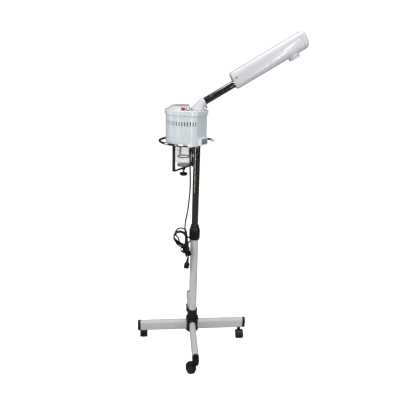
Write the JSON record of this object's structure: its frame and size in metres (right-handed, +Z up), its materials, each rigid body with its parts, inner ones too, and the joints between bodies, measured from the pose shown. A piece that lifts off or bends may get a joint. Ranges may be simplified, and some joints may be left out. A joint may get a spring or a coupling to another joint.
{
  "type": "facial steamer",
  "caption": "Facial steamer on a castored stand: a glass jar boiler head on a height-adjustable column, with a swinging arm that ends in a steam nozzle.",
  "frame": {"origin": "on the floor, under the middle of the whole outline, with the arm at rest", "axes": "+Z up; +X the way the arm points at rest; the four legs lie along X and Y"},
  "size_m": [0.715, 0.54, 1.4509],
  "materials": {
    "black_plastic": "satin",
    "hood_plastic": "satin",
    "leg_paint": "satin",
    "column_paint": "satin",
    "zinc_steel": "satin",
    "tread": "matte",
    "acetal": "matte",
    "chrome": "polished",
    "cast_alloy": "cast",
    "plated_sheet": "satin",
    "body_plastic": "gloss",
    "cover_plastic": "gloss",
    "red_rocker": "gloss",
    "white_plastic": "gloss",
    "cream_plastic": "gloss",
    "clear_glass": "clear",
    "seal_rubber": "matte",
    "element_sheath": "oxidised",
    "probe_sleeve": "matte",
    "bracket_steel": "satin",
    "brass": "turned",
    "transformer_steel": "satin",
    "silicone": "matte",
    "lamp_glass": "gloss",
    "cord_rubber": "satin"
  },
  "bodies": {
    "base": {"hub": "black_plastic", "legs": "leg_paint", "leg_caps": "hood_plastic", "leg_bolts": "zinc_steel", "lower_column": "column_paint", "column_bush": "acetal", "caster_stems": "zinc_steel"},
    "collar": {"height_collar": "black_plastic"},
    "column": {"upper_column": "chrome"},
    "head": {"column_socket": "cast_alloy", "chassis_plate": "plated_sheet", "body_shell": "body_plastic", "lid": "body_plastic", "control_panel": "cover_plastic", "switch_bodies": "black_plastic", "ring_handle": "chrome", "handle_tips": "cream_plastic", "rear_box": "white_plastic", "boiler_head": "cast_alloy", "jar_gasket": "seal_rubber", "jar": "clear_glass", "heater": "element_sheath", "level_probe": "probe_sleeve", "bracket_hanger": "bracket_steel", "bracket_hinge": "black_plastic", "steam_pipe": "silicone", "transformer": "transformer_steel", "cord_gland": "black_plastic", "elbow_bush": "acetal", "power_cord": "cord_rubber", "cord_hank": "cord_rubber", "plug": "cord_rubber", "plug_pins": "brass"},
    "bracket": {"jar_bracket": "bracket_steel"},
    "clamp_plate": {"pressure_plate": "plated_sheet", "plate_pad": "seal_rubber"},
    "screw": {"clamp_screw": "brass", "clamp_knob": "black_plastic"},
    "power_switch": {"power_rocker": "red_rocker"},
    "ozone_switch": {"ozone_rocker": "white_plastic"},
    "elbow_head": {"elbow": "cover_plastic"},
    "elbow_lock": {"elbow_lock_screw": "black_plastic"},
    "arm": {"arm_tube": "chrome", "arm_housing": "cover_plastic", "arm_end_cap": "cover_plastic", "steam_duct": "silicone", "ozone_lamp": "lamp_glass"},
    "nozzle_head": {"nozzle": "cover_plastic"},
    "caster_1": {"caster_hood_1": "hood_plastic", "caster_axle_1": "zinc_steel"},
    "wheels_1": {"caster_wheels_1": "tread"},
    "caster_2": {"caster_hood_2": "hood_plastic", "caster_axle_2": "zinc_steel"},
    "wheels_2": {"caster_wheels_2": "tread"},
    "caster_3": {"caster_hood_3": "hood_plastic", "caster_axle_3": "zinc_steel"},
    "wheels_3": {"caster_wheels_3": "tread"},
    "caster_4": {"caster_hood_4": "hood_plastic", "caster_axle_4": "zinc_steel"},
    "wheels_4": {"caster_wheels_4": "tread"}
  },
  "joints": [
    {"name": "caster_1_swivel", "type": "hinge", "parent": "base", "child": "caster_1", "pos_m": [0.15453, 0, 0.042], "axis": [0, 0, 1], "continuous": true},
    {"name": "caster_1_roll", "type": "hinge", "parent": "caster_1", "child": "wheels_1", "pos_m": [0.15453, -0.018, 0.02], "axis": [1, 0, 0], "continuous": true},
    {"name": "caster_2_swivel", "type": "hinge", "parent": "base", "child": "caster_2", "pos_m": [-0.08747, 0.242, 0.042], "axis": [0, 0, 1], "continuous": true},
    {"name": "caster_2_roll", "type": "hinge", "parent": "caster_2", "child": "wheels_2", "pos_m": [-0.08747, 0.224, 0.02], "axis": [1, 0, 0], "continuous": true},
    {"name": "caster_3_swivel", "type": "hinge", "parent": "base", "child": "caster_3", "pos_m": [-0.32947, 0, 0.042], "axis": [0, 0, 1], "continuous": true},
    {"name": "caster_3_roll", "type": "hinge", "parent": "caster_3", "child": "wheels_3", "pos_m": [-0.32947, 0.018, 0.02], "axis": [-1, 0, 0], "continuous": true},
    {"name": "caster_4_swivel", "type": "hinge", "parent": "base", "child": "caster_4", "pos_m": [-0.08747, -0.242, 0.042], "axis": [0, 0, 1], "continuous": true},
    {"name": "caster_4_roll", "type": "hinge", "parent": "caster_4", "child": "wheels_4", "pos_m": [-0.10547, -0.242, 0.02], "axis": [0, -1, 0], "continuous": true},
    {"name": "collar_twist", "type": "hinge", "parent": "base", "child": "collar", "pos_m": [-0.08747, 0, 0.58], "axis": [0, 0, 1], "range_deg": [0, 90]},
    {"name": "column_height", "type": "slide", "parent": "base", "child": "column", "axis": [0, 0, 1], "range_m": [-0.22, 0.12]},
    {"name": "head_swivel", "type": "hinge", "parent": "column", "child": "head", "pos_m": [-0.08747, 0, 1.01], "axis": [0, 0, 1], "range_deg": [-180, 180]},
    {"name": "bracket_swing", "type": "hinge", "parent": "head", "child": "bracket", "pos_m": [-0.1011, 0.09561, 0.878], "axis": [0.8192, -0.5736, 0], "range_deg": [0, 100]},
    {"name": "plate_travel", "type": "slide", "parent": "bracket", "child": "clamp_plate", "axis": [0, 0, 1], "range_m": [-0.008, 0]},
    {"name": "screw_turn", "type": "hinge", "parent": "clamp_plate", "child": "screw", "pos_m": [-0.14154, 0.03786, 0.878], "axis": [0, 0, 1], "range_deg": [-1440, 0]},
    {"name": "power_rocker", "type": "hinge", "parent": "head", "child": "power_switch", "pos_m": [-0.14971, -0.03103, 1.13438], "axis": [0.9962, -0.0872, 0], "range_deg": [0, 18]},
    {"name": "ozone_rocker", "type": "hinge", "parent": "head", "child": "ozone_switch", "pos_m": [-0.13118, -0.03265, 1.13438], "axis": [0.9962, -0.0872, 0], "range_deg": [0, 18]},
    {"name": "elbow_swing", "type": "hinge", "parent": "head", "child": "elbow_head", "pos_m": [-0.08813, 0.01999, 1.125], "axis": [0, 0, 1], "range_deg": [-109, 109]},
    {"name": "elbow_lock_turn", "type": "hinge", "parent": "elbow_head", "child": "elbow_lock", "pos_m": [-0.0538, 0.01999, 1.14564], "axis": [0.524, 0, -0.8517], "range_deg": [0, 360]},
    {"name": "arm_roll", "type": "hinge", "parent": "elbow_head", "child": "arm", "pos_m": [-0.07109, 0.01999, 1.15848], "axis": [0.8517, 0, 0.524], "range_deg": [-90, 90]},
    {"name": "nozzle_turn", "type": "hinge", "parent": "arm", "child": "nozzle_head", "pos_m": [0.30026, 0.01999, 1.35641], "axis": [0.524, 0, -0.8517], "range_deg": [-180, 180]}
  ],
  "couplings": [
    {"joint": "screw_turn", "follows": "plate_travel", "rad_per_m": 3141.6}
  ]
}
